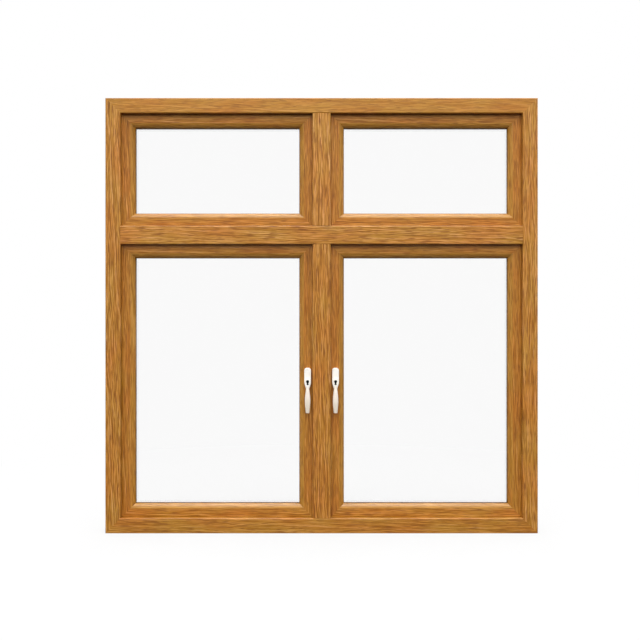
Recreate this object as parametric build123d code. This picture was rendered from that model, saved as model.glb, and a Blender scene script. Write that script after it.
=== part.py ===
from build123d import *
from collections import namedtuple
import os

# A timber double casement window with two fixed top lights over two side-hung casements.
# It is drawn closed, as it stands in a wall: +X to the right seen from the room, +Y to the outside, +Z up.
# The origin is on the underside of the sill, at the middle of its length and of the frame's depth.
# All lengths are in millimetres.

# Overall size
FRAME_WIDTH = 1500
FRAME_HEIGHT = 1510
TOP_LIGHT_OPENING = 391  # clear height between the head and the transom, seen from the room

# Timber sections of the outer frame, the transom and the mullions
FRAME_BODY = 32  # solid part of head, sill and jambs, outside the rebate
TRANSOM_BODY = 24  # solid part of the transom, between two rebates
MULLION_BODY = 23  # solid part of the mullions, between two rebates
STOP_DEPTH = 20  # thickness of the room-side stop that a sash closes against
ROOM_EDGE_RADIUS = 3.5
PLAIN_EDGE_RADIUS = 2.0

# How a sash sits in its rebate
SASH_LAP = 8  # the room-side stop covers the sash edge by this much
REBATE_GAP = 12  # free space round the sash edge, where the stays lie
LIP_LAP = 8  # the sash's outer lip covers the frame by this much
LIP_THICKNESS = 9
SEAL_THICKNESS = 3
SEAL_INSET = 1

# Sash section and glazing
SASH_FACE = 30  # flat face seen between the frame and the glazing bead
SASH_BACK = 14  # outer leg of the glazing rebate
BACK_SETBACK = 4  # the outer leg stands back from the bead's edge by this much
SASH_BACK_BEVEL = 6
BEAD_WIDTH = 16
BEAD_DEPTH = 15
BEAD_FLAT = 1  # level strip of the bead beside the sash face
BEAD_NOSE = 1.5  # straight edge of the bead beside the glass
BEAD_BULGE = 1.8  # how far the bead's curve stands out from its chord
BEAD_MITRE_GAP = 0.2  # each bead end stands back by this much, so mitres show a fine line
GASKET_THICKNESS = 3
GASKET_WIDTH = 8
GASKET_REVEAL = 0.8  # the strip of gasket seen between the timber and the glass
PANE_THICKNESS = 4
PANE_CAVITY = 16
GLASS_CLEARANCE = 3  # between the glass edge and the rebate floor
SPACER_INSET = 3
SPACER_HEIGHT = 6

# Friction stays that carry the casements
STAY_LENGTH = 300
STAY_WIDTH = 18
STAY_THICKNESS = 3
STAY_SETBACK = 15  # from the sash's room face
STAY_END = 12  # from the sash's hinge-side corner

# Wall fixings through the jambs
FIXING_RADIUS = 3.75
FIXING_DEPTH_FROM_ROOM = 45
OUTER_FIXING_SPACING = 1210
INNER_FIXING_SPACING = 400

# Handles, on the meeting stiles
HANDLE_INSET = 17  # pivot axis, from the mullion's edge
HANDLE_RISE = 474  # pivot axis, from the sill's upper edge
BASE_WIDTH = 24
BASE_RISE = 47.2  # pivot axis to the top of the base
BASE_THICKNESS = 13
BASE_CORNER_RADIUS = 9.5
BASE_EDGE_RADIUS = 2.5
SPINDLE_RADIUS = 5
SPINDLE_LENGTH = 8
SPINDLE_CLEARANCE = 0.05
HUB_CLEARANCE = 0.3
HUB_RADIUS = 11.7
HUB_DROP = 4  # how far its sides run straight down before they taper
HUB_THICKNESS = 9
HUB_EDGE_RADIUS = 2.5
NECK_DROP = 22
NECK_RADIUS = 6.5
KEYHOLE_RADIUS = 5.3
KEYHOLE_SLOT_WIDTH = 5.6
KEYHOLE_SLOT_DROP = 12.4
KEYHOLE_FOOT_RADIUS = 3.8
KEYHOLE_DEPTH = 5
LOCK_CLEARANCE = 0.05
LOCK_THICKNESS = 2.5
GRIP_TIP_RADIUS = 1.5
GripStation = namedtuple("GripStation", "drop width thickness stand_off")
GRIP_STATIONS = (
    GripStation(13, 9, 8, 0),
    GripStation(26, 11.5, 9, 1.5),
    GripStation(60, 19, 10, 9),
    GripStation(94, 15.5, 8.5, 7),
    GripStation(109, 12.5, 7, 5),
)

# Sizes that follow from those above
STOP_HEIGHT = SASH_LAP + REBATE_GAP
FRAME_FACE = FRAME_BODY + STOP_HEIGHT
TRANSOM_FACE = TRANSOM_BODY + 2 * STOP_HEIGHT
MULLION_FACE = MULLION_BODY + 2 * STOP_HEIGHT
UNIT_THICKNESS = 2 * PANE_THICKNESS + PANE_CAVITY
SASH_DEPTH = BEAD_DEPTH + 2 * GASKET_THICKNESS + UNIT_THICKNESS + SASH_BACK
FRAME_DEPTH = STOP_DEPTH + SASH_DEPTH - LIP_THICKNESS

# Planes across the depth, from the room to the outside
ROOM_FACE = -FRAME_DEPTH / 2
STOP_BACK = ROOM_FACE + STOP_DEPTH
SASH_ROOM_FACE = STOP_BACK + SEAL_THICKNESS
BEAD_BACK = SASH_ROOM_FACE + BEAD_DEPTH
GLASS_ROOM_FACE = BEAD_BACK + GASKET_THICKNESS
GLASS_OUTER_FACE = GLASS_ROOM_FACE + UNIT_THICKNESS
REBATE_WALL = GLASS_OUTER_FACE + GASKET_THICKNESS
FRAME_OUTER_FACE = FRAME_DEPTH / 2
LIP_BACK = FRAME_OUTER_FACE + SEAL_THICKNESS
SASH_OUTER_FACE = SASH_ROOM_FACE + SASH_DEPTH

# Insets from the edge of an opening, positive towards its middle
SASH_EDGE = -SASH_LAP
BODY_EDGE = -STOP_HEIGHT
LIP_EDGE = BODY_EDGE - LIP_LAP
BEAD_EDGE = SASH_FACE
BEAD_INNER_EDGE = BEAD_EDGE + BEAD_WIDTH
BACK_EDGE = BEAD_INNER_EDGE - BACK_SETBACK
GLASS_EDGE = SASH_FACE + GLASS_CLEARANCE

Rect = namedtuple("Rect", "left bottom right top")

# For each side of a rectangle: the way in towards its middle, the way the bar runs, and its two corners.
# The run crossed with the way in is always +Y, so one section serves all four sides.
Side = namedtuple("Side", "inward run first second")
SIDES = {
    "bottom": Side((0, 0, 1), (-1, 0, 0), 1, 0),
    "left": Side((1, 0, 0), (0, 0, 1), 0, 3),
    "top": Side((0, 0, -1), (1, 0, 0), 3, 2),
    "right": Side((-1, 0, 0), (0, 0, -1), 2, 1),
}
RAIL_NAMES = {"top": "top_rail", "bottom": "bottom_rail", "left": "left_stile", "right": "right_stile"}


def inset(rect, amount):
    """The rectangle moved in by an amount on all four sides, or out if it is negative."""
    return Rect(rect.left + amount, rect.bottom + amount, rect.right - amount, rect.top - amount)


def corners(rect):
    """The corners of a rectangle in the window's plane, as (x, z), from the lower left."""
    return [
        (rect.left, rect.bottom),
        (rect.right, rect.bottom),
        (rect.right, rect.top),
        (rect.left, rect.top),
    ]


def slab(outline, near, far):
    """A flat outline of (x, z) points, made solid from depth near to depth far."""
    points = [(x, near, z) for x, z in outline]
    return extrude(make_face(Polyline(*points, close=True)), amount=far - near, dir=(0, 1, 0))


def ring(rect, outer, inner, near, far):
    """A rectangular ring between two insets of a rectangle."""
    return slab(corners(inset(rect, outer)), near, far) - slab(corners(inset(rect, inner)), near, far)


def section(*corner_list):
    """A closed section from (inset, depth, radius) corners."""
    points = [(u, y) for u, y, _ in corner_list]
    return make_face(FilletPolyline(*points, radius=[r for _, _, r in corner_list], close=True))


def mitred_bar(rect, bar_section, side, stand_back=0):
    """The section run along one side of a rectangle, with both ends cut at 45 degrees."""
    way = SIDES[side]
    reach = bar_section.bounding_box()
    outer = corners(inset(rect, reach.min.X))
    inner = corners(inset(rect, reach.max.X))
    base = corners(rect)[way.first]
    start = Vector(base[0], 0, base[1]) + Vector(*way.run) * reach.min.X
    length = abs(Vector(*outer[way.first]) - Vector(*outer[way.second]))
    bar = extrude(Plane(start, x_dir=way.inward, z_dir=way.run) * bar_section, amount=length)
    run_x, run_z = way.run[0] * stand_back, way.run[2] * stand_back
    wedge = [
        (outer[way.first][0] + run_x, outer[way.first][1] + run_z),
        (outer[way.second][0] - run_x, outer[way.second][1] - run_z),
        (inner[way.second][0] - run_x, inner[way.second][1] - run_z),
        (inner[way.first][0] + run_x, inner[way.first][1] + run_z),
    ]
    return bar & slab(wedge, reach.min.Y, reach.max.Y)


# The lights: the four openings of the frame, seen from the room
TRANSOM_TOP = FRAME_HEIGHT - FRAME_FACE - TOP_LIGHT_OPENING
TRANSOM_BOTTOM = TRANSOM_TOP - TRANSOM_FACE
OPENING_LEFT = -FRAME_WIDTH / 2 + FRAME_FACE
MULLION_EDGE = MULLION_FACE / 2
LIGHTS = {
    "left_top_light": Rect(OPENING_LEFT, TRANSOM_TOP, -MULLION_EDGE, FRAME_HEIGHT - FRAME_FACE),
    "right_top_light": Rect(MULLION_EDGE, TRANSOM_TOP, -OPENING_LEFT, FRAME_HEIGHT - FRAME_FACE),
    "left_casement": Rect(OPENING_LEFT, FRAME_FACE, -MULLION_EDGE, TRANSOM_BOTTOM),
    "right_casement": Rect(MULLION_EDGE, FRAME_FACE, -OPENING_LEFT, TRANSOM_BOTTOM),
}
HANDLE_AXES = {"left": -MULLION_EDGE - HANDLE_INSET, "right": MULLION_EDGE + HANDLE_INSET}
HANDLE_HEIGHT = FRAME_FACE + HANDLE_RISE


def outer_frame():
    """Head, sill and jambs, mitred at the corners, with fixing holes through the jambs."""
    bar_section = section(
        (0, ROOM_FACE, PLAIN_EDGE_RADIUS),
        (FRAME_FACE, ROOM_FACE, ROOM_EDGE_RADIUS),
        (FRAME_FACE, STOP_BACK, 0),
        (FRAME_BODY, STOP_BACK, 0),
        (FRAME_BODY, FRAME_OUTER_FACE, PLAIN_EDGE_RADIUS),
        (0, FRAME_OUTER_FACE, PLAIN_EDGE_RADIUS),
    )
    outline = Rect(-FRAME_WIDTH / 2, 0, FRAME_WIDTH / 2, FRAME_HEIGHT)
    names = {"top": "head", "bottom": "sill", "left": "left_jamb", "right": "right_jamb"}
    bars = {name: mitred_bar(outline, bar_section, side) for side, name in names.items()}
    for name, face in (("left_jamb", -FRAME_WIDTH / 2), ("right_jamb", FRAME_WIDTH / 2 - FRAME_BODY)):
        for spacing in (OUTER_FIXING_SPACING, INNER_FIXING_SPACING):
            for height in (FRAME_HEIGHT / 2 - spacing / 2, FRAME_HEIGHT / 2 + spacing / 2):
                start = Plane((face, ROOM_FACE + FIXING_DEPTH_FROM_ROOM, height), z_dir=(1, 0, 0))
                bars[name] -= extrude(start * Circle(FIXING_RADIUS), amount=FRAME_BODY)
    return bars


def cross_bar(side, start, body_width, face_length):
    """A T-shaped bar between two rebates, that starts on its centre line and runs the way that side runs.

    Its face stops at the openings' edges, and its body runs on into the rebates at both ends.
    """
    way = SIDES[side]
    half_body = body_width / 2
    half_face = half_body + STOP_HEIGHT
    face_section = section(
        (-half_face, ROOM_FACE, ROOM_EDGE_RADIUS),
        (half_face, ROOM_FACE, ROOM_EDGE_RADIUS),
        (half_face, STOP_BACK, 0),
        (-half_face, STOP_BACK, 0),
    )
    body_section = section(
        (-half_body, STOP_BACK, 0),
        (half_body, STOP_BACK, 0),
        (half_body, FRAME_OUTER_FACE, PLAIN_EDGE_RADIUS),
        (-half_body, FRAME_OUTER_FACE, PLAIN_EDGE_RADIUS),
    )
    body_start = Vector(*start) - Vector(*way.run) * STOP_HEIGHT
    body_length = face_length + 2 * STOP_HEIGHT
    face = extrude(Plane(start, x_dir=way.inward, z_dir=way.run) * face_section, amount=face_length)
    body = extrude(Plane(body_start, x_dir=way.inward, z_dir=way.run) * body_section, amount=body_length)
    return face + body


def transom_and_mullions():
    """The transom runs through from jamb to jamb, and the mullions stand above and below it."""
    right_end = (-OPENING_LEFT, 0, (TRANSOM_TOP + TRANSOM_BOTTOM) / 2)
    bars = {"transom": cross_bar("bottom", right_end, TRANSOM_BODY, -2 * OPENING_LEFT)}
    for name, light in (("upper_mullion", "left_top_light"), ("lower_mullion", "left_casement")):
        foot, top = LIGHTS[light].bottom, LIGHTS[light].top
        bars[name] = cross_bar("left", (0, 0, foot), MULLION_BODY, top - foot)
    return bars


def sash(light):
    """The four mitred bars of a lipped sash, by side."""
    bar_section = section(
        (SASH_EDGE, SASH_ROOM_FACE, PLAIN_EDGE_RADIUS),
        (BEAD_EDGE, SASH_ROOM_FACE, 0),
        (BEAD_EDGE, REBATE_WALL, 0),
        (BACK_EDGE, REBATE_WALL, 0),
        (BACK_EDGE, SASH_OUTER_FACE - SASH_BACK_BEVEL, 0),
        (BACK_EDGE - SASH_BACK_BEVEL, SASH_OUTER_FACE, PLAIN_EDGE_RADIUS),
        (LIP_EDGE, SASH_OUTER_FACE, PLAIN_EDGE_RADIUS),
        (LIP_EDGE, LIP_BACK, 0),
        (SASH_EDGE, LIP_BACK, 0),
    )
    return {side: mitred_bar(light, bar_section, side) for side in SIDES}


def glazing_beads(light):
    """Four mitred beads with a swelling face, which hold the glass from the room side."""
    curve_start = (BEAD_EDGE + BEAD_FLAT, SASH_ROOM_FACE)
    curve_end = (BEAD_INNER_EDGE, BEAD_BACK - BEAD_NOSE)
    outline = Curve() + [
        Line((BEAD_EDGE, SASH_ROOM_FACE), curve_start),
        SagittaArc(curve_start, curve_end, -BEAD_BULGE),
        Line(curve_end, (BEAD_INNER_EDGE, BEAD_BACK)),
        Line((BEAD_INNER_EDGE, BEAD_BACK), (BEAD_EDGE, BEAD_BACK)),
        Line((BEAD_EDGE, BEAD_BACK), (BEAD_EDGE, SASH_ROOM_FACE)),
    ]
    bead_section = make_face(outline)
    return [mitred_bar(light, bead_section, side, BEAD_MITRE_GAP) for side in SIDES]


def glass_panes(light):
    """The room pane and the outer pane of a sealed unit."""
    outline = corners(inset(light, GLASS_EDGE))
    return [
        slab(outline, GLASS_ROOM_FACE, GLASS_ROOM_FACE + PANE_THICKNESS),
        slab(outline, GLASS_OUTER_FACE - PANE_THICKNESS, GLASS_OUTER_FACE),
    ]


def spacer_bar(light):
    """The bar that holds the two panes of a sealed unit apart, all round."""
    edge = GLASS_EDGE + SPACER_INSET
    near = GLASS_ROOM_FACE + PANE_THICKNESS
    return ring(light, edge, edge + SPACER_HEIGHT, near, near + PANE_CAVITY)


def glazing_gasket(light, near, timber_edge):
    """The rubber strip between the glass and the timber that holds it, all round."""
    sight_line = timber_edge + GASKET_REVEAL
    return ring(light, sight_line - GASKET_WIDTH, sight_line, near, near + GASKET_THICKNESS)


def weather_seal(light, near, outer, inner):
    """The rubber strip that a closed sash presses on, all round, set in from both edges of the lap."""
    return ring(light, outer + SEAL_INSET, inner - SEAL_INSET, near, near + SEAL_THICKNESS)


def friction_stays(name, light):
    """Above and below a casement, from its hinge side: a track on the frame and an arm on the sash edge."""
    near = SASH_ROOM_FACE + STAY_SETBACK
    first = light.left + SASH_EDGE + STAY_END
    if name.startswith("right"):
        first = light.right - SASH_EDGE - STAY_END - STAY_LENGTH
    lower_edges = (
        light.bottom + BODY_EDGE,
        light.bottom + SASH_EDGE - STAY_THICKNESS,
        light.top - SASH_EDGE,
        light.top - BODY_EDGE - STAY_THICKNESS,
    )
    strips = [Rect(first, low, first + STAY_LENGTH, low + STAY_THICKNESS) for low in lower_edges]
    return [slab(corners(strip), near, near + STAY_WIDTH) for strip in strips]


def facing_room(depth, height=0):
    """A plane at a depth from the sash face, with its own z towards the room and x to the right."""
    return Plane((0, SASH_ROOM_FACE - depth, height), x_dir=(1, 0, 0), z_dir=(0, -1, 0))


def keyhole(clearance):
    """A keyhole's outline: a round eye on the pivot axis, and a slot below it with a round foot."""
    foot_drop = KEYHOLE_SLOT_DROP - KEYHOLE_FOOT_RADIUS
    slot = Rectangle(KEYHOLE_SLOT_WIDTH - 2 * clearance, foot_drop, align=(Align.CENTER, Align.MAX))
    foot = Pos(0, -foot_drop) * Circle(KEYHOLE_FOOT_RADIUS - clearance)
    return Circle(KEYHOLE_RADIUS - clearance) + slot + foot


def handle_base():
    """The round-ended base that is screwed to the sash, with the socket for the spindle."""
    body = Rectangle(BASE_WIDTH, BASE_RISE, align=(Align.CENTER, Align.MIN))
    body = fillet(body.vertices().group_by(Axis.Y)[-1], BASE_CORNER_RADIUS)
    base = extrude(facing_room(0) * (body + Circle(BASE_WIDTH / 2)), amount=BASE_THICKNESS)
    base = fillet(base.faces().sort_by(Axis.Y)[0].edges(), BASE_EDGE_RADIUS)
    socket_depth = SPINDLE_LENGTH + HUB_CLEARANCE
    socket = Circle(SPINDLE_RADIUS + SPINDLE_CLEARANCE)
    return base - extrude(facing_room(BASE_THICKNESS - socket_depth) * socket, amount=socket_depth)


def handle_lever():
    """Hub, spindle and waisted grip, one casting with a keyhole in its hub."""
    hub_back = BASE_THICKNESS + HUB_CLEARANCE
    hub_front = hub_back + HUB_THICKNESS
    hub = Circle(HUB_RADIUS) + Pos(0, -HUB_DROP) * Circle(HUB_RADIUS)
    plate_outline = make_hull((hub + Pos(0, -NECK_DROP) * Circle(NECK_RADIUS)).edges())
    plate = extrude(facing_room(hub_back) * plate_outline, amount=HUB_THICKNESS)
    plate = fillet(plate.faces().sort_by(Axis.Y)[0].edges(), HUB_EDGE_RADIUS)
    spindle = extrude(facing_room(hub_back) * Circle(SPINDLE_RADIUS), amount=-SPINDLE_LENGTH)
    hub_middle = SASH_ROOM_FACE - hub_back - HUB_THICKNESS / 2
    grip_sections = [
        Plane((0, hub_middle - s.stand_off, -s.drop)) * Ellipse(s.width / 2, s.thickness / 2)
        for s in GRIP_STATIONS
    ]
    grip = loft(grip_sections)
    grip = fillet(grip.faces().sort_by(Axis.Z)[0].edges(), GRIP_TIP_RADIUS)
    recess = extrude(facing_room(hub_front - KEYHOLE_DEPTH) * keyhole(0), amount=KEYHOLE_DEPTH)
    return plate + spindle + grip - recess


def handle_lock():
    """The lock barrel that shows in the keyhole."""
    floor = BASE_THICKNESS + HUB_CLEARANCE + HUB_THICKNESS - KEYHOLE_DEPTH
    return extrude(facing_room(floor) * keyhole(LOCK_CLEARANCE), amount=LOCK_THICKNESS)


def build():
    """Every piece of the window, by the name of its node."""
    nodes = {**outer_frame(), **transom_and_mullions()}
    for name, light in LIGHTS.items():
        for side, bar in sash(light).items():
            nodes[f"{name}_{RAIL_NAMES[side]}"] = bar
        nodes[f"{name}_beads"] = glazing_beads(light)
        nodes[f"{name}_glass"] = glass_panes(light)
    lights = LIGHTS.values()
    nodes["spacer_bars"] = [spacer_bar(light) for light in lights]
    nodes["inner_glazing_gaskets"] = [glazing_gasket(light, BEAD_BACK, BEAD_INNER_EDGE) for light in lights]
    nodes["outer_glazing_gaskets"] = [glazing_gasket(light, GLASS_OUTER_FACE, BACK_EDGE) for light in lights]
    nodes["inner_weather_seals"] = [weather_seal(light, STOP_BACK, SASH_EDGE, 0) for light in lights]
    nodes["outer_weather_seals"] = [
        weather_seal(light, FRAME_OUTER_FACE, LIP_EDGE, BODY_EDGE) for light in lights
    ]
    casements = [(name, light) for name, light in LIGHTS.items() if name.endswith("casement")]
    nodes["friction_stays"] = [stay for name, light in casements for stay in friction_stays(name, light)]
    for hand, x in HANDLE_AXES.items():
        place = Pos(x, 0, HANDLE_HEIGHT)
        nodes[f"{hand}_handle_base"] = place * handle_base()
        nodes[f"{hand}_handle_lever"] = place * handle_lever()
        nodes[f"{hand}_handle_lock"] = place * handle_lock()
    return nodes


os.makedirs("parts", exist_ok=True)
for node, shape in build().items():
    solids = shape if isinstance(shape, list) else [shape]
    export_step(Compound(children=[s for piece in solids for s in piece.solids()]), f"parts/{node}.step")
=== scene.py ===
# %% [markdown]
# # A golden oak double casement window
# The object is a joiner's window: a mitred outer frame with a transom and mullions, two fixed top lights,
# two side-hung casements, sealed glass units held by beads, rubber seals and two white lever handles. The
# solids come ready made, at their real size. This lesson dresses them: timber with a grain that runs
# along every bar, clear glass, extruded rubber, powder-coated metal, and the soft light of a studio.

# %% Load the solids
import math
import random

import bmesh
import bpy
import numpy as np
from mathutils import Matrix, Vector


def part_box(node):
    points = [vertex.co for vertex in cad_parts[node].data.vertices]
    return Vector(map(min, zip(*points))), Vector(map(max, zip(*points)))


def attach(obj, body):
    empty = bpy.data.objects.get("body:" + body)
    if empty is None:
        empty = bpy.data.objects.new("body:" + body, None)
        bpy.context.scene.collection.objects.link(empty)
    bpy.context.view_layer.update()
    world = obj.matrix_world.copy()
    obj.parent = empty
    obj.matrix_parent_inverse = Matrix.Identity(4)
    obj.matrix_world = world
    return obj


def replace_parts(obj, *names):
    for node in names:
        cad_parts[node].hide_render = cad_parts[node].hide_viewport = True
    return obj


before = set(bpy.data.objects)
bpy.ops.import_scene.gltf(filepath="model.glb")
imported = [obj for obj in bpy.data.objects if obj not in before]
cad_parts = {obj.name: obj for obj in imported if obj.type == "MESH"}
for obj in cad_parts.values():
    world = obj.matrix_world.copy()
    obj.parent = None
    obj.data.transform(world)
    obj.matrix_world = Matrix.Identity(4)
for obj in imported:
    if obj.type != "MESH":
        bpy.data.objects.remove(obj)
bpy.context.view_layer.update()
MM = 0.001
LIGHTS = ("left_top_light", "right_top_light", "left_casement", "right_casement")

# %% [markdown]
# ## Small helpers
# Colours are given as sRGB hex values, but shaders reckon in linear light, so one function
# converts them. Node trees, for finishes and for shapes alike, are built by one function that adds a
# node, sets its options and joins its inputs. A script that places nodes by hand would be ten times as
# long and hide the recipe. Two more put a new object in the scene and give a solid its finish.

# %% Helpers for colours and node trees
COLOUR_A, COLOUR_B = 6, 7  # the places of the two colour inputs on a Mix node
MIXED_COLOUR = 2  # and of its colour output
NOISE_LOW, NOISE_HIGH = 0.3, 0.7  # nearly all of a noise lies between these


def linear(hex_colour):
    """An sRGB hex colour as linear red, green, blue and alpha."""
    parts = [int(hex_colour[i:i + 2], 16) / 255 for i in (1, 3, 5)]
    return [p / 12.92 if p <= 0.04045 else ((p + 0.055) / 1.055) ** 2.4 for p in parts] + [1.0]


def add(tree, kind, inputs=None, stops=(), **options):
    """Adds a node: its inputs are values or sockets of earlier nodes, and its options are settings.

    stops are the places and colours along a colour ramp, which starts with two.
    """
    made = tree.nodes.new(kind)
    for name, value in options.items():
        setattr(made, name, value)
    for _ in stops[2:]:
        made.color_ramp.elements.new(1.0)
    for stop, (place, hex_colour) in enumerate(stops):
        made.color_ramp.elements[stop].position = place
        made.color_ramp.elements[stop].color = linear(hex_colour)
    for key, value in (inputs or {}).items():
        if isinstance(value, bpy.types.NodeSocket):
            tree.links.new(value, made.inputs[key])
        else:
            made.inputs[key].default_value = value
    return made


def new_finish(name):
    """An empty material and its node tree."""
    material = bpy.data.materials.new(name)
    material.use_nodes = True
    material.node_tree.nodes.clear()
    return material, material.node_tree


def per_length(size):
    """The texture scale that makes one feature as long as the size in each direction."""
    return [1 / s for s in size]


def new_object(name, data):
    """A new object in the scene, made of a mesh, a camera or a lamp."""
    made = bpy.data.objects.new(name, data)
    bpy.context.scene.collection.objects.link(made)
    return made


def dress(node, finish):
    """Gives a solid its finish and leaves its shape alone."""
    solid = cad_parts[node]
    solid.data.materials.clear()
    solid.data.materials.append(finish)
    return solid


# %% [markdown]
# ## The camera
# The window is seen square on from the room, three metres away, so its sides look parallel and the edges
# of the sashes just show how deep they lie in the frame. The camera is set down as a tripod would be: at
# a measured distance from the frame's room face, level, and a few millimetres off the middle.

# %% Camera
LENS = 50.0
SENSOR = 36.0
VIEW_DISTANCE = 3.082
CAMERA_SIDE = -5.5 * MM
CAMERA_HEIGHT = 740 * MM
camera_data = bpy.data.cameras.new("room_camera")
camera_data.lens = LENS
camera_data.sensor_width = SENSOR
camera = new_object("room_camera", camera_data)
room_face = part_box("head")[0].y
camera.location = (CAMERA_SIDE, room_face - VIEW_DISTANCE, CAMERA_HEIGHT)
camera.rotation_euler = (math.radians(90), 0, 0)
bpy.context.scene.camera = camera
print("camera at", [round(v, 3) for v in camera.location])

# %% [markdown]
# ## Smooth copies of the solids
# A planed bar has flat faces and softly rounded edges that catch the light. The solids come as loose
# triangles, which would shade every rounded edge as facets. Each is copied instead: its points are
# joined, its old shading is dropped, edges sharper than a limit stay crisp and the rest turn smooth.
# Weighted normals then keep the broad faces flat.

# %% Smooth copies
MERGE_DISTANCE = 0.01 * MM
SHARP_ANGLE = 32


def smooth_copy(node, name, finish, body="window"):
    """A piece with the shape of a solid: its loose triangles joined and its round edges shaded smooth."""
    mesh = bpy.data.meshes.new(name)
    shape = bmesh.new()
    shape.from_mesh(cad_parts[node].data)
    bmesh.ops.remove_doubles(shape, verts=shape.verts, dist=MERGE_DISTANCE)
    shape.to_mesh(mesh)
    shape.free()
    if "custom_normal" in mesh.attributes:
        mesh.attributes.remove(mesh.attributes["custom_normal"])
    mesh.shade_smooth()
    mesh.set_sharp_from_angle(angle=math.radians(SHARP_ANGLE))
    mesh.materials.clear()
    mesh.materials.append(finish)
    piece = new_object(name, mesh)
    piece.modifiers.new("even_normals", "WEIGHTED_NORMAL").keep_sharp = True
    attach(piece, body)
    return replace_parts(piece, node)


def points_of(piece):
    """The piece's points as rows of x, y, z."""
    flat = np.empty(len(piece.data.vertices) * 3, np.float32)
    piece.data.vertices.foreach_get("co", flat)
    return flat.reshape(-1, 3)


# %% [markdown]
# ## Golden oak
# The bars are oak, planed, stained to a golden honey brown and sealed with satin varnish. Up close the
# eye sees growth rings, which show as long flames and lines where the saw cut through them, pale and dark
# streaks along the grain, broad patches that lean towards yellow or red, and open pores, short dark
# dashes a few centimetres long. A stretched noise alone would give streaks without flames. So the rings
# are drawn as real ones are: as distance from the heart of a tree that stood a little aslant to the
# board, with a wander for its uneven growth. Each year's ring has a pale half and a dark one.

# %% Sizes of the grain
RING_WIDTH = 6.5 * MM
RING_DEPTH = 0.06  # how far a year's pale and dark halves part from the middle tone
HEART = Vector((0, 35, 60)) * MM
RING_LEAN = (0, math.radians(1.6), math.radians(2.4))
RING_WANDER = 12.0 * MM
WANDER_SIZE = Vector((180, 36, 36)) * MM
STREAK_SIZE = Vector((75, 4.5, 4.5)) * MM
LATE_WOOD_SIZE = Vector((55, 4.0, 4.0)) * MM
PATCH_SIZE = Vector((160, 50, 50)) * MM
# Real pores are finer; these are drawn as coarse as they need to be to show.
PORE_SIZE = Vector((30, 1.6, 1.6)) * MM
STREAK_SHARE = 0.6  # of the figure; the rest is rings
PLAIN_FIGURE = 0.5  # the middle tone, where a board has no figure at all
LATE_WOOD_EDGE = (0.55, 0.66)  # where in its noise a dark line starts and where it is full
LATE_WOOD_SHARE = 0.8
PORE_EDGE = (0.60, 0.70)
PORE_SHARE = 0.55


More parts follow.
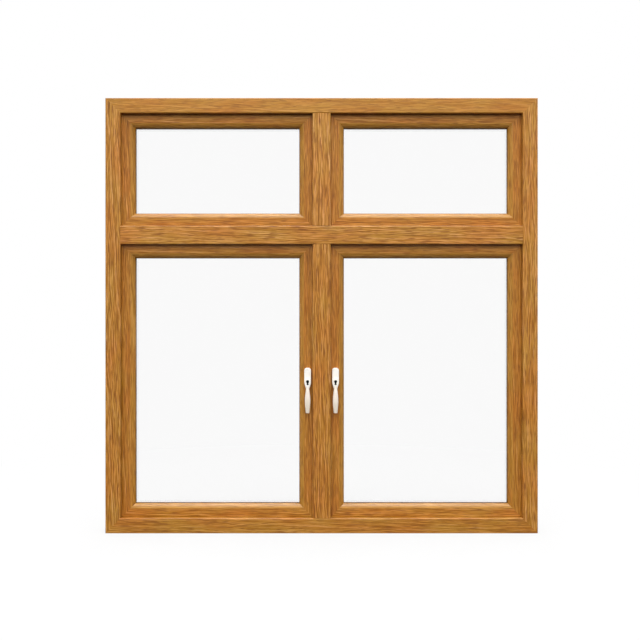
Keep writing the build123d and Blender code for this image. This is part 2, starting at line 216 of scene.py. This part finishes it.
# %% Golden oak
def golden_oak():
    """Stained and varnished oak: streaky and warm, with a sheen that shows more on the smooth pale wood."""
    material, tree = new_finish("golden_oak_satin_varnish")
    grain = add(tree, "ShaderNodeAttribute", attribute_name="grain").outputs["Vector"]
    tone = add(tree, "ShaderNodeAttribute", attribute_name="tone").outputs["Fac"]
    boldness = add(tree, "ShaderNodeAttribute", attribute_name="boldness").outputs["Fac"]
    redness = add(tree, "ShaderNodeAttribute", attribute_name="redness").outputs["Fac"]

    def along_grain(size, detail):
        at = add(tree, "ShaderNodeMapping", {"Vector": grain, "Scale": per_length(size)}).outputs[0]
        return add(tree, "ShaderNodeTexNoise", {"Vector": at, "Scale": 1.0, "Detail": detail}).outputs

    wander = along_grain(WANDER_SIZE, 2.0)["Color"]
    swing = add(tree, "ShaderNodeVectorMath", {0: wander, 1: [2 * RING_WANDER] * 3}, operation="MULTIPLY")
    leaning = add(tree, "ShaderNodeMapping", {"Vector": grain, "Rotation": RING_LEAN, "Location": HEART})
    swung = add(tree, "ShaderNodeVectorMath", {0: leaning.outputs[0], 1: swing.outputs[0]})
    flat = add(tree, "ShaderNodeVectorMath", {0: swung.outputs[0], 1: [0, 1, 1]}, operation="MULTIPLY")
    from_heart = add(tree, "ShaderNodeVectorMath", {0: flat.outputs[0]}, operation="LENGTH").outputs["Value"]
    ring_count = add(tree, "ShaderNodeMath", {0: from_heart, 1: RING_WIDTH}, operation="DIVIDE").outputs[0]
    rings = add(tree, "ShaderNodeTexNoise", {
        "W": ring_count, "Scale": 1.0, "Detail": 2.5}, noise_dimensions="1D").outputs["Fac"]
    turns = add(tree, "ShaderNodeMath", {0: ring_count, 1: math.tau}, operation="MULTIPLY").outputs[0]
    years = add(tree, "ShaderNodeMath", {0: turns}, operation="SINE").outputs[0]

    streaks = along_grain(STREAK_SIZE, 2.0)["Fac"]
    lines = add(tree, "ShaderNodeMix", {"Factor": STREAK_SHARE, "A": rings, "B": streaks}).outputs[0]
    ringed = add(tree, "ShaderNodeMath", {
        0: years, 1: RING_DEPTH, 2: lines}, operation="MULTIPLY_ADD").outputs[0]
    figure = add(tree, "ShaderNodeMix", {"Factor": boldness, "A": PLAIN_FIGURE, "B": ringed}).outputs[0]
    toned = add(tree, "ShaderNodeMath", {0: figure, 1: tone}).outputs[0]
    stain = ((0.29, "#764700"), (0.43, "#a06b10"), (0.55, "#bd8736"), (0.71, "#d19a5a"))
    colour = add(tree, "ShaderNodeValToRGB", {"Fac": toned}, stops=stain)

    patches = along_grain(PATCH_SIZE, 1.0)["Fac"]
    ruddy = add(tree, "ShaderNodeMath", {0: patches, 1: redness}).outputs[0]
    warmth = add(tree, "ShaderNodeMapRange", {
        "Value": ruddy, "From Min": NOISE_LOW, "From Max": NOISE_HIGH}).outputs[0]
    warmed = add(tree, "ShaderNodeMix", {
        "Factor": warmth,
        COLOUR_A: colour.outputs[0],
        COLOUR_B: linear("#ffe6d2"),
    }, data_type="RGBA", blend_type="MULTIPLY").outputs[MIXED_COLOUR]

    late_wood = along_grain(LATE_WOOD_SIZE, 1.0)["Fac"]
    dark_line = add(tree, "ShaderNodeMapRange", {
        "Value": late_wood,
        "From Min": LATE_WOOD_EDGE[0],
        "From Max": LATE_WOOD_EDGE[1],
        "To Max": LATE_WOOD_SHARE,
    }).outputs[0]
    bold_line = add(tree, "ShaderNodeMath", {0: dark_line, 1: boldness}, operation="MULTIPLY").outputs[0]
    lined = add(tree, "ShaderNodeMix", {
        "Factor": bold_line,
        COLOUR_A: warmed,
        COLOUR_B: linear("#7c4400"),
    }, data_type="RGBA").outputs[MIXED_COLOUR]

    pores = along_grain(PORE_SIZE, 0.0)["Fac"]
    open_pore = add(tree, "ShaderNodeMapRange", {
        "Value": pores,
        "From Min": PORE_EDGE[0],
        "From Max": PORE_EDGE[1],
        "To Max": PORE_SHARE,
    }).outputs[0]
    stained = add(tree, "ShaderNodeMix", {
        "Factor": open_pore,
        COLOUR_A: lined,
        COLOUR_B: linear("#6a3a00"),
    }, data_type="RGBA").outputs[MIXED_COLOUR]

    height = add(tree, "ShaderNodeMath", {0: figure, 1: open_pore}, operation="SUBTRACT").outputs[0]
    relief = add(tree, "ShaderNodeBump", {
        "Height": height, "Strength": 0.25, "Distance": 0.4 * MM}).outputs[0]
    roughness = add(tree, "ShaderNodeMapRange", {
        "Value": figure,
        "From Min": NOISE_LOW,
        "From Max": NOISE_HIGH,
        "To Min": 0.45,
        "To Max": 0.35,
    }).outputs[0]
    varnish = add(tree, "ShaderNodeBsdfPrincipled", {
        "Base Color": stained,
        "Roughness": roughness,
        "IOR": 1.42,
        "Normal": relief,
    })
    add(tree, "ShaderNodeOutputMaterial", {"Surface": varnish.outputs[0]})
    return material


oak = golden_oak()
print("oak rings", RING_WIDTH / MM, "mm apart")

# %% [markdown]
# ## Bars of timber
# Every bar of a real window is cut from its own board, so its grain runs along its length and no two look
# alike. A pattern fixed to the room would run the same way through rails and stiles. Instead each bar
# stores, on every point, where that point lay in its board: along the grain, across it, and into its
# depth. It also stores how light its board is, how bold the figure and how red the patches. For the
# transom and upper mullion the lighter tone is painted light, as the upper half of the window is lit more,
# and for the beads the lower redness is painted sheen. The finish reads these, and so the mitres show as
# the eye expects: a change of direction at 45 degrees.

# %% Frame and sash bars
boards = random.Random(11)
RAIL_NAMES = ("top_rail", "bottom_rail")
STILE_NAMES = ("left_stile", "right_stile")
FRAME_RAILS = ("head", "sill", "transom")
FRAME_STILES = ("left_jamb", "right_jamb", "upper_mullion", "lower_mullion")
BOARD_LENGTH = 4.0
BOARD_WIDTH = 0.2
TONE_SPREAD = 0.012
LOOKS = {  # of a kind of bar, or of one bar by its own name
    "oak_frame": {"tone": 0.016, "boldness": 1.0, "redness": -0.03},
    "head": {"tone": 0.0, "boldness": 0.42, "redness": -0.08},
    "sill": {"tone": 0.0, "boldness": 0.75, "redness": 0.0},
    # The transom and upper mullion are set lighter: painted light, as the upper half of the window is lit
    # more.
    "transom": {"tone": 0.03, "boldness": 1.0, "redness": -0.03},
    "upper_mullion": {"tone": 0.042, "boldness": 1.0, "redness": -0.03},
    "oak_sash": {"tone": -0.004, "boldness": 0.7, "redness": 0.08},
    # The beads are set less red than the sash: painted sheen, a paler, more neutral cast for their
    # reflections.
    "oak_bead": {"tone": -0.01, "boldness": 0.4, "redness": -0.2},
}


def lay_grain(piece, level, board, look):
    """Stores where each point lay in its board, and the look of that board.

    level says which points belong to bars that lie level.
    """
    points = points_of(piece)
    along_x = points[:, [0, 2, 1]]
    along_z = points[:, [2, 0, 1]]
    place = np.where(level[:, None], along_x, along_z) + board
    grain = piece.data.attributes.new("grain", "FLOAT_VECTOR", "POINT")
    grain.data.foreach_set("vector", place.astype(np.float32).ravel())
    own_tone = look["tone"] + boards.uniform(-TONE_SPREAD, TONE_SPREAD)
    for name, value in {**look, "tone": own_tone}.items():
        stored = piece.data.attributes.new(name, "FLOAT", "POINT")
        stored.data.foreach_set("value", np.full(len(points), value, np.float32))


def next_board():
    """The place in the timber stack that the next bar is cut from."""
    return np.array([boards.uniform(0, reach) for reach in (BOARD_LENGTH, BOARD_WIDTH, BOARD_WIDTH)])


bars = {node: "oak_frame" for node in FRAME_RAILS + FRAME_STILES}
bars.update({f"{light}_{bar}": "oak_sash" for light in LIGHTS for bar in RAIL_NAMES + STILE_NAMES})
for node, slot in bars.items():
    piece = smooth_copy(node, f"{node}_timber", oak)
    is_level = node.endswith("rail") or node in FRAME_RAILS
    lay_grain(piece, np.full(len(piece.data.vertices), is_level), next_board(), LOOKS.get(node, LOOKS[slot]))
print("timber bars:", len(bars))

# %% [markdown]
# ## Glazing beads
# Four slim mitred beads with a swelling face hold each glass unit from the room side. They could be swept
# round the light as one frame, but the grain has to turn at each mitre. They are one piece here, so each
# point first finds out which bead it is on: the one whose edge of the light is nearest.

# %% Beads
for light in LIGHTS:
    node = f"{light}_beads"
    piece = smooth_copy(node, f"{light}_bead_trim", oak)
    low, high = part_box(node)
    points = points_of(piece)
    to_level_bead = np.minimum(points[:, 2] - low.z, high.z - points[:, 2])
    to_upright_bead = np.minimum(points[:, 0] - low.x, high.x - points[:, 0])
    lay_grain(piece, to_level_bead < to_upright_bead, next_board(), LOOKS["oak_bead"])
print("bead sets:", len(LIGHTS))

# %% [markdown]
# ## The glass
# Each light has a sealed unit of two panes of float glass. Float glass is smooth and almost colourless,
# with a faint green cast from its iron, and the rollers that carry it leave waves far too long and
# shallow to see except in a reflection. The solids already have the right shape, so they only get the
# finish. Panes let lamplight through, which is why they cast no shadow here.

# %% Clear float glass
ROLLER_WAVE = Vector((220, 220, 90)) * MM


def float_glass():
    """Clear float glass: colourless face on, with slightly wavy reflections at a slant."""
    material, tree = new_finish("clear_float_glass")
    at = add(tree, "ShaderNodeTexCoord").outputs["Object"]
    stretched = add(tree, "ShaderNodeMapping", {"Vector": at, "Scale": per_length(ROLLER_WAVE)}).outputs[0]
    waves = add(tree, "ShaderNodeTexNoise", {
        "Vector": stretched, "Scale": 1.0, "Detail": 0.0}).outputs["Fac"]
    wavy = add(tree, "ShaderNodeBump", {"Height": waves, "Strength": 0.3, "Distance": 0.1 * MM}).outputs[0]
    glass = add(tree, "ShaderNodeBsdfPrincipled", {
        "Base Color": linear("#fcfcfc"),
        "Roughness": 0.0,
        "IOR": 1.52,
        "Transmission Weight": 1.0,
        "Normal": wavy,
    })
    add(tree, "ShaderNodeOutputMaterial", {"Surface": glass.outputs[0]})
    return material


clear_glass = float_glass()
for light in LIGHTS:
    dress(f"{light}_glass", clear_glass).visible_shadow = False
print("glass units:", len(LIGHTS))

# %% [markdown]
# ## Rubber gaskets and seals
# Extruded rubber strips run round every light in one length, bent round the corners: a gasket on each
# face of the glass, and a seal on each side of the sash edge. They could be modelled strip by strip, but
# they all follow a rectangle, so one node tree sweeps a rounded section along four rectangles at once. It
# has a named input for each size, and its result is kept as a plain mesh.

# %% Rectangles to follow
def opening(light):
    """The clear opening of a light between the frame's stops: left, bottom, right and top."""
    uprights = ("left_jamb", "lower_mullion", "right_jamb")
    left, right = uprights[:2] if light.startswith("left") else uprights[1:]
    bottom, top = ("sill", "transom") if light.endswith("casement") else ("transom", "head")
    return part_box(left)[1].x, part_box(bottom)[1].z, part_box(right)[0].x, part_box(top)[0].z


def outlines(name, inset, depth, corner_gap=0.0):
    """A piece of bare edges: a rectangle in each light, at an inset from its opening.

    A corner gap parts its sides.
    """
    shape = bmesh.new()
    for light in LIGHTS:
        left, bottom, right, top = opening(light)
        across = (left + inset, right - inset)
        up = (bottom + inset, top - inset)
        corners = [Vector((across[i], depth, up[j])) for i, j in ((0, 0), (1, 0), (1, 1), (0, 1))]
        for first, second in zip(corners, corners[1:] + corners[:1]):
            gap = (second - first).normalized() * corner_gap
            shape.edges.new((shape.verts.new(first + gap), shape.verts.new(second - gap)))
    bmesh.ops.remove_doubles(shape, verts=shape.verts, dist=MERGE_DISTANCE)
    mesh = bpy.data.meshes.new(name)
    shape.to_mesh(mesh)
    shape.free()
    return new_object(name, mesh)


# %% Node trees with named inputs
def new_shape_tree(name, sizes):
    """A node tree that takes a geometry, named sizes and a finish, with the sockets that give them."""
    tree = bpy.data.node_groups.new(name, "GeometryNodeTree")
    tree.interface.new_socket("Geometry", in_out="INPUT", socket_type="NodeSocketGeometry")
    for size in sizes:
        tree.interface.new_socket(size, in_out="INPUT", socket_type="NodeSocketFloat")
    tree.interface.new_socket("Finish", in_out="INPUT", socket_type="NodeSocketMaterial")
    tree.interface.new_socket("Geometry", in_out="OUTPUT", socket_type="NodeSocketGeometry")
    return tree, add(tree, "NodeGroupInput").outputs


def end_shape_tree(tree, shape, finish):
    """Ends a tree as a plain, dressed mesh."""
    real = add(tree, "GeometryNodeRealizeInstances", {"Geometry": shape})
    dressed = add(tree, "GeometryNodeSetMaterial", {"Geometry": real.outputs[0], "Material": finish})
    add(tree, "NodeGroupOutput", {"Geometry": dressed.outputs[0]})
    return tree


def grown(piece, tree, values):
    """Runs a node tree on a piece with the named inputs, and keeps the result as its plain mesh."""
    modifier = piece.modifiers.new("grow", "NODES")
    modifier.node_group = tree
    for item in tree.interface.items_tree:
        if item.in_out == "INPUT" and item.name in values:
            modifier[item.identifier] = values[item.name]
    evaluated = piece.evaluated_get(bpy.context.evaluated_depsgraph_get())
    mesh = bpy.data.meshes.new_from_object(evaluated)
    piece.modifiers.remove(modifier)
    piece.data = mesh
    return piece


# %% The rubber sweep
def rubber_strip():
    """A node tree that sweeps a rounded rectangular section along the edges of its mesh."""
    tree, given = new_shape_tree("rubber_strip", ("Width", "Thickness", "Edge Radius", "Bend Radius"))
    loops = add(tree, "GeometryNodeMeshToCurve", {"Mesh": given["Geometry"]}).outputs[0]
    bent = add(tree, "GeometryNodeFilletCurve", {
        "Curve": loops, "Radius": given["Bend Radius"], "Count": 5}, mode="POLY").outputs[0]
    square = add(tree, "GeometryNodeCurvePrimitiveQuadrilateral", {
        "Width": given["Thickness"], "Height": given["Width"]}).outputs[0]
    section = add(tree, "GeometryNodeFilletCurve", {
        "Curve": square, "Radius": given["Edge Radius"], "Count": 4}, mode="POLY").outputs[0]
    swept = add(tree, "GeometryNodeCurveToMesh", {"Curve": bent, "Profile Curve": section}).outputs[0]
    smooth = add(tree, "GeometryNodeSetShadeSmooth", {"Geometry": swept}).outputs[0]
    return end_shape_tree(tree, smooth, given["Finish"])


# %% Black rubber
BLOOM_SIZE = 12 * MM


def black_rubber():
    """Extruded black rubber: dull, with the pale bloom that comes to its skin as it ages."""
    material, tree = new_finish("extruded_black_rubber")
    at = add(tree, "ShaderNodeTexCoord").outputs["Object"]
    bloom = add(tree, "ShaderNodeTexNoise", {
        "Vector": at, "Scale": 1 / BLOOM_SIZE, "Detail": 3.0}).outputs["Fac"]
    colour = add(tree, "ShaderNodeMix", {
        "Factor": bloom,
        COLOUR_A: linear("#1b1a18"),
        COLOUR_B: linear("#2f2c28"),
    }, data_type="RGBA").outputs[MIXED_COLOUR]
    roughness = add(tree, "ShaderNodeMapRange", {
        "Value": bloom,
        "From Min": NOISE_LOW,
        "From Max": NOISE_HIGH,
        "To Min": 0.55,
        "To Max": 0.7,
    }).outputs[0]
    skin = add(tree, "ShaderNodeBsdfPrincipled", {"Base Color": colour, "Roughness": roughness})
    add(tree, "ShaderNodeOutputMaterial", {"Surface": skin.outputs[0]})
    return material


# %% Gaskets and seals
BEND_RADIUS = 2.0 * MM
EDGE_RADIUS = 1.0 * MM
STRIP_WIDTHS = {
    "inner_glazing_gaskets": 8 * MM,
    "outer_glazing_gaskets": 8 * MM,
    "inner_weather_seals": 6 * MM,
    "outer_weather_seals": 6 * MM,
}
rubber = black_rubber()
strip_tree = rubber_strip()
opening_left = opening("left_casement")[0]
for node, width in STRIP_WIDTHS.items():
    low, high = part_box(node)
    near_edge = low.x - opening_left
    path = outlines(f"{node}_rubber", near_edge + width / 2, (low.y + high.y) / 2)
    piece = grown(path, strip_tree, {
        "Width": width,
        "Thickness": high.y - low.y,
        "Edge Radius": EDGE_RADIUS,
        "Bend Radius": BEND_RADIUS,
        "Finish": rubber,
    })
    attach(piece, "window")
    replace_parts(piece, node)
    points = points_of(piece)
    slack = max(abs(points.min(0) - np.array(low)).max(), abs(points.max(0) - np.array(high)).max())
    print(node, "follows its solid to", round(slack / MM, 3), "mm")

# %% [markdown]
# ## Spacer bars
# A hollow bar of warm-edge plastic keeps the two panes apart. Its inner face has a row of small slots,
# through which the drying beads inside it take up moisture. They show when one looks along the glass.
# Cutting a thousand holes would be slow and heavy, so a node tree sets a thin dark slot at an even pitch
# along each side: a thin plate of black rubber, its dark a painted shade for the hollow behind each hole.

# %% Warm-edge plastic
SPECK_SIZE = 0.8 * MM


def warm_edge_plastic():
    """Moulded grey plastic, speckled with glass fibre: matt, so that it doesn't mirror in the panes."""
    material, tree = new_finish("fibre_filled_grey_plastic")
    at = add(tree, "ShaderNodeTexCoord").outputs["Object"]
    specks = add(tree, "ShaderNodeTexNoise", {
        "Vector": at, "Scale": 1 / SPECK_SIZE, "Detail": 2.0}).outputs["Fac"]
    colour = add(tree, "ShaderNodeMix", {
        "Factor": specks,
        COLOUR_A: linear("#46464a"),
        COLOUR_B: linear("#66666a"),
    }, data_type="RGBA").outputs[MIXED_COLOUR]
    skin = add(tree, "ShaderNodeBsdfPrincipled", {"Base Color": colour, "Roughness": 0.6})
    add(tree, "ShaderNodeOutputMaterial", {"Surface": skin.outputs[0]})
    return material


spacer = dress("spacer_bars", warm_edge_plastic())
print("spacer bars dressed in", spacer.data.materials[0].name)


# %% Slots along the spacers
def slot_row():
    """A node tree that sets thin rounded slots at an even pitch along the edges of its mesh."""
    tree, given = new_shape_tree("spacer_slots", (
        "Pitch", "Slot Length", "Slot Width", "Slot Corner", "Slot Depth"))
    lines = add(tree, "GeometryNodeMeshToCurve", {"Mesh": given["Geometry"]}).outputs[0]
    stations = add(tree, "GeometryNodeResampleCurve", {
        "Curve": lines, "Length": given["Pitch"]}, mode="LENGTH").outputs[0]
    tangent = add(tree, "GeometryNodeInputTangent").outputs[0]
    along = add(tree, "FunctionNodeAlignRotationToVector", {"Vector": tangent}, axis="X").outputs[0]
    facing = add(tree, "FunctionNodeAlignRotationToVector", {
        "Rotation": along, "Vector": (0, 1, 0)}, axis="Y", pivot_axis="X").outputs[0]
    oblong = add(tree, "GeometryNodeCurvePrimitiveQuadrilateral", {
        "Width": given["Slot Length"], "Height": given["Slot Width"]}).outputs[0]
    rounded = add(tree, "GeometryNodeFilletCurve", {
        "Curve": oblong, "Radius": given["Slot Corner"], "Count": 2}, mode="POLY").outputs[0]
    face = add(tree, "GeometryNodeFillCurve", {"Curve": rounded}, mode="NGONS").outputs[0]
    raised = add(tree, "GeometryNodeExtrudeMesh", {
        "Mesh": face, "Offset Scale": given["Slot Depth"]}).outputs[0]
    back = add(tree, "GeometryNodeFlipFaces", {"Mesh": face}).outputs[0]
    shell = add(tree, "GeometryNodeJoinGeometry", {"Geometry": raised})
    tree.links.new(back, shell.inputs["Geometry"])
    closed = add(tree, "GeometryNodeMergeByDistance", {
        "Geometry": shell.outputs[0], "Distance": MERGE_DISTANCE}).outputs[0]
    slots = add(tree, "GeometryNodeInstanceOnPoints", {
        "Points": stations, "Instance": closed, "Rotation": facing}).outputs[0]
    return end_shape_tree(tree, slots, given["Finish"])


SPACER_HEIGHT = 6 * MM
SLOT_CORNER_GAP = 15 * MM
low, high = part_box("spacer_bars")
inner_face = low.x - opening_left + SPACER_HEIGHT
path = outlines("spacer_slots", inner_face, (low.y + high.y) / 2, SLOT_CORNER_GAP)
slots = grown(path, slot_row(), {
    "Pitch": 8 * MM,
    "Slot Length": 3 * MM,
    "Slot Width": 0.8 * MM,
    "Slot Corner": 0.36 * MM,
    "Slot Depth": 0.1 * MM,
    # The slots are thin plates in black rubber: painted shade for the dark inside of each hole.
    "Finish": rubber,
})
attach(slots, "window")
print("spacer slots:", len(slots.data.polygons), "faces")

# %% [markdown]
# ## Handles
# Each casement has a lever handle: a base screwed to the stile, a lever that turns on it, and a lock
# barrel in the lever's keyhole. They are die-cast and powder coated white. Baked powder leaves a skin
# like fine orange peel, which softens the highlights. Down the grip, from the end of the base to the tip,
# the white is painted a little darker and creamier, following the height along the lever: painted shade
# and painted warm bounce light from the oak.
# The shapes are smooth copies, each riding on the body that it moves with.

# %% White powder coat
PEEL_SIZE = 1.6 * MM
HANDLING_SIZE = 25 * MM
# Painted shade and painted warm bounce from the oak along the grip, from the base to the tip.
GRIP_PAINTED_SHADE = ((0.0, "#fdfcf8"), (0.1, "#f1eae1"), (0.32, "#e3d9cf"), (0.8, "#f8efe1"))  # from base to tip
grip_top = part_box("left_handle_base")[0].z
grip_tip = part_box("left_handle_lever")[0].z


def white_powder_coat():
    """Powder coat on die-cast metal: white, with painted shade and painted warm bounce down the grip, and
    soft broken highlights.
    """
    material, tree = new_finish("white_powder_coat")
    at = add(tree, "ShaderNodeTexCoord").outputs["Object"]
    height = add(tree, "ShaderNodeSeparateXYZ", {0: at}).outputs["Z"]
    along_grip = add(tree, "ShaderNodeMapRange", {
        "Value": height, "From Min": grip_top, "From Max": grip_tip}).outputs[0]
    # Painted shade: the grip turns darker and creamier down its length.
    painted_shade = add(tree, "ShaderNodeValToRGB", {"Fac": along_grip}, stops=GRIP_PAINTED_SHADE).outputs[0]
    peel = add(tree, "ShaderNodeTexNoise", {
        "Vector": at, "Scale": 1 / PEEL_SIZE, "Detail": 1.0}).outputs["Fac"]
    dulled = add(tree, "ShaderNodeTexNoise", {
        "Vector": at, "Scale": 1 / HANDLING_SIZE, "Detail": 2.0}).outputs["Fac"]
    colour = add(tree, "ShaderNodeMix", {
        "Factor": dulled,
        COLOUR_A: painted_shade,
        COLOUR_B: linear("#f3ede3"),
    }, data_type="RGBA", blend_type="MULTIPLY").outputs[MIXED_COLOUR]
    roughness = add(tree, "ShaderNodeMapRange", {
        "Value": dulled,
        "From Min": NOISE_LOW,
        "From Max": NOISE_HIGH,
        "To Min": 0.28,
        "To Max": 0.42,
    }).outputs[0]
    orange_peel = add(tree, "ShaderNodeBump", {
        "Height": peel, "Strength": 0.15, "Distance": 0.05 * MM}).outputs[0]
    skin = add(tree, "ShaderNodeBsdfPrincipled", {
        "Base Color": colour,
        "Roughness": roughness,
        "IOR": 1.5,
        "Normal": orange_peel,
    })
    add(tree, "ShaderNodeOutputMaterial", {"Surface": skin.outputs[0]})
    return material


# %% Black lock barrels
TUMBLE_SIZE = 0.6 * MM


def black_lock_coat():
    """Blackened die-cast metal: near black, with a dull grain from tumbling."""
    material, tree = new_finish("blackened_die_cast_metal")
    at = add(tree, "ShaderNodeTexCoord").outputs["Object"]
    tumbled = add(tree, "ShaderNodeTexNoise", {
        "Vector": at, "Scale": 1 / TUMBLE_SIZE, "Detail": 2.0}).outputs["Fac"]
    colour = add(tree, "ShaderNodeMix", {
        "Factor": tumbled,
        COLOUR_A: linear("#060606"),
        COLOUR_B: linear("#101010"),
    }, data_type="RGBA").outputs[MIXED_COLOUR]
    roughness = add(tree, "ShaderNodeMapRange", {"Value": tumbled, "To Min": 0.35, "To Max": 0.6}).outputs[0]
    skin = add(tree, "ShaderNodeBsdfPrincipled", {
        "Base Color": colour,
        "Roughness": roughness,
        "Specular IOR Level": 0.1,
    })
    add(tree, "ShaderNodeOutputMaterial", {"Surface": skin.outputs[0]})
    return material


# %% Handle pieces
powder_coat = white_powder_coat()
lock_coat = black_lock_coat()
for side in ("left", "right"):
    handle = f"{side}_handle"
    smooth_copy(f"{handle}_base", f"{side}_base_casting", powder_coat)
    smooth_copy(f"{handle}_lever", f"{side}_lever_casting", powder_coat, handle)
    smooth_copy(f"{handle}_lock", f"{side}_lock_barrel", lock_coat, handle)

# %% [markdown]
# ## Friction stays
# The casements hang on friction stays, flat arms of stainless steel in the gap above and below each sash.
# They were rolled and brushed along their length. A plain grey would do, since the shut sashes hide them,
# but a part is also looked at in pieces, so the finish has the fine streaks of the brush along each arm.

# %% Brushed stainless steel
# Real brush lines are finer; these are drawn as coarse as they need to be to show.
BRUSH_SIZE = Vector((60, 0.7, 0.7)) * MM


def brushed_steel():
    """Stainless steel brushed along its length: grey, with highlights drawn out across the streaks."""
    material, tree = new_finish("brushed_stainless_steel")
    at = add(tree, "ShaderNodeTexCoord").outputs["Object"]
    stretched = add(tree, "ShaderNodeMapping", {"Vector": at, "Scale": per_length(BRUSH_SIZE)}).outputs[0]
    lines = add(tree, "ShaderNodeTexNoise", {
        "Vector": stretched, "Scale": 1.0, "Detail": 2.0}).outputs["Fac"]
    colour = add(tree, "ShaderNodeMix", {
        "Factor": lines,
        COLOUR_A: linear("#a9a8a4"),
        COLOUR_B: linear("#c9c8c5"),
    }, data_type="RGBA").outputs[MIXED_COLOUR]
    roughness = add(tree, "ShaderNodeMapRange", {"Value": lines, "To Min": 0.28, "To Max": 0.45}).outputs[0]
    metal = add(tree, "ShaderNodeBsdfPrincipled", {
        "Base Color": colour,
        "Roughness": roughness,
        "Metallic": 1.0,
    })
    add(tree, "ShaderNodeOutputMaterial", {"Surface": metal.outputs[0]})
    return material


stays = dress("friction_stays", brushed_steel())
print("stays dressed in", stays.data.materials[0].name)

# %% [markdown]
# ## The stage
# The window stands on a plain pale floor in a white studio. The light is a big even dome overhead, as in
# a light tent: faces that look up are bright, faces that look down are dark, and there are no hard
# shadows. A softbox high in front lifts the head a little over the sill, a weaker one lights the back, a
# panel overhead brightens what looks up, and a last lamp shows only as sheen on the varnish. Looked at
# straight, in a mirror or through glass, the studio is plain white. For rays that carry light it is dim
# below the horizon, so that the undersides of the bars stay dark. The floor takes the window's shadow
# near by and fades to white further out, so that no horizon shows.

# %% Floor
FLOOR_HALF = 12.0
PAPER_SHARE = 0.8  # this much of the floor is plain white; the rest takes the light and the object's shadow
SHADOW_REACH = (0.9, 2.2)  # from here on the shadow fades, and out there the floor is all plain white
floor_mesh = bpy.data.meshes.new("floor")
floor_corners = [(x * FLOOR_HALF, y * FLOOR_HALF, 0) for x, y in ((-1, -1), (1, -1), (1, 1), (-1, 1))]
floor_mesh.from_pydata(floor_corners, [], [(0, 1, 2, 3)])
floor = new_object("floor", floor_mesh)


def seen_rays(tree):
    """1 for rays that look straight, in a mirror or through glass, and 0 for rays that carry light."""
    path = add(tree, "ShaderNodeLightPath").outputs
    mirrored = add(tree, "ShaderNodeMath", {
        0: path["Is Camera Ray"], 1: path["Is Glossy Ray"]}, operation="MAXIMUM").outputs[0]
    looking = add(tree, "ShaderNodeMath", {
        0: mirrored, 1: path["Is Transmission Ray"]}, operation="MAXIMUM").outputs[0]
    unscattered = add(tree, "ShaderNodeMath", {
        0: path["Diffuse Depth"], 1: 1.0}, operation="LESS_THAN").outputs[0]
    return add(tree, "ShaderNodeMath", {0: looking, 1: unscattered}, operation="MULTIPLY").outputs[0]


def pale_floor():
    """Matt studio paper: white to look at, with the soft shadow of what stands on it."""
    material, tree = new_finish("pale_studio_paper")
    at = add(tree, "ShaderNodeTexCoord").outputs["Object"]
    distance = add(tree, "ShaderNodeVectorMath", {0: at}, operation="LENGTH").outputs["Value"]
    share = add(tree, "ShaderNodeMapRange", {
        "Value": distance,
        "From Min": SHADOW_REACH[0],
        "From Max": SHADOW_REACH[1],
        "To Min": PAPER_SHARE,
    }, interpolation_type="SMOOTHSTEP").outputs[0]
    matt = add(tree, "ShaderNodeBsdfDiffuse", {"Color": linear("#c6c6c6")}).outputs[0]
    white = add(tree, "ShaderNodeEmission", {"Color": (1, 1, 1, 1), "Strength": 1.0}).outputs[0]
    paper = add(tree, "ShaderNodeMixShader", {0: share, 1: matt, 2: white}).outputs[0]
    dim = add(tree, "ShaderNodeBsdfDiffuse", {"Color": linear("#202020")}).outputs[0]
    shown = add(tree, "ShaderNodeMixShader", {0: seen_rays(tree), 1: dim, 2: paper})
    add(tree, "ShaderNodeOutputMaterial", {"Surface": shown.outputs[0]})
    return material


floor_mesh.materials.append(pale_floor())
print("floor", 2 * FLOOR_HALF, "m wide")

# %% Studio light
DOME_LIGHT = 1.06
LOW_LIGHT = 0.03
HORIZON_BLUR = 0.05
world = bpy.data.worlds.new("white_studio")
bpy.context.scene.world = world
world.use_nodes = True
sky = world.node_tree
sky.nodes.clear()
direction = add(sky, "ShaderNodeTexCoord").outputs["Generated"]
up = add(sky, "ShaderNodeSeparateXYZ", {0: direction}).outputs["Z"]
dome = add(sky, "ShaderNodeMapRange", {
    "Value": up,
    "From Min": -HORIZON_BLUR,
    "From Max": HORIZON_BLUR,
    "To Min": LOW_LIGHT,
    "To Max": DOME_LIGHT,
}, interpolation_type="SMOOTHSTEP").outputs[0]
strength = add(sky, "ShaderNodeMix", {"Factor": seen_rays(sky), "A": dome, "B": 1.0}).outputs[0]
all_round = add(sky, "ShaderNodeBackground", {"Color": (1, 1, 1, 1), "Strength": strength}).outputs[0]
add(sky, "ShaderNodeOutputWorld", {"Surface": all_round})

LAMPS = {
    "front_softbox": {
        "place": (0.0, -6.0, 4.3), "aim": (0.0, 0.0, 0.9), "size": (5.0, 4.6), "power": 240,
        "hidden_from": ("glossy", "transmission"),
    },
    "rear_softbox": {
        "place": (0.0, 4.5, 2.2), "aim": (0.0, 0.0, 1.2), "size": (3.0, 1.2), "power": 55,
        "hidden_from": ("glossy", "transmission"),
    },
    "overhead_panel": {
        "place": (0.0, -0.4, 4.6), "aim": (0.0, -0.4, 0.0), "size": (4.0, 3.4), "power": 170,
        "hidden_from": (),
    },
    "overhead_sheen": {
        "place": (0.0, -0.4, 4.6), "aim": (0.0, -0.4, 0.0), "size": (4.0, 3.4), "power": 450,
        "hidden_from": ("diffuse",),
    },
}
for name, lamp in LAMPS.items():
    data = bpy.data.lights.new(name, "AREA")
    data.shape = "RECTANGLE"
    data.size, data.size_y = lamp["size"]
    data.energy = lamp["power"]
    source = new_object(name, data)
    source.location = lamp["place"]
    heading = Vector(lamp["aim"]) - Vector(lamp["place"])
    source.rotation_euler = heading.to_track_quat("-Z", "Y").to_euler()
    for ray in lamp["hidden_from"]:
        setattr(source, f"visible_{ray}", False)
bpy.context.scene.view_settings.view_transform = "Standard"
print("dome", DOME_LIGHT, *(f"{name} {lamp['power']} W" for name, lamp in LAMPS.items()))
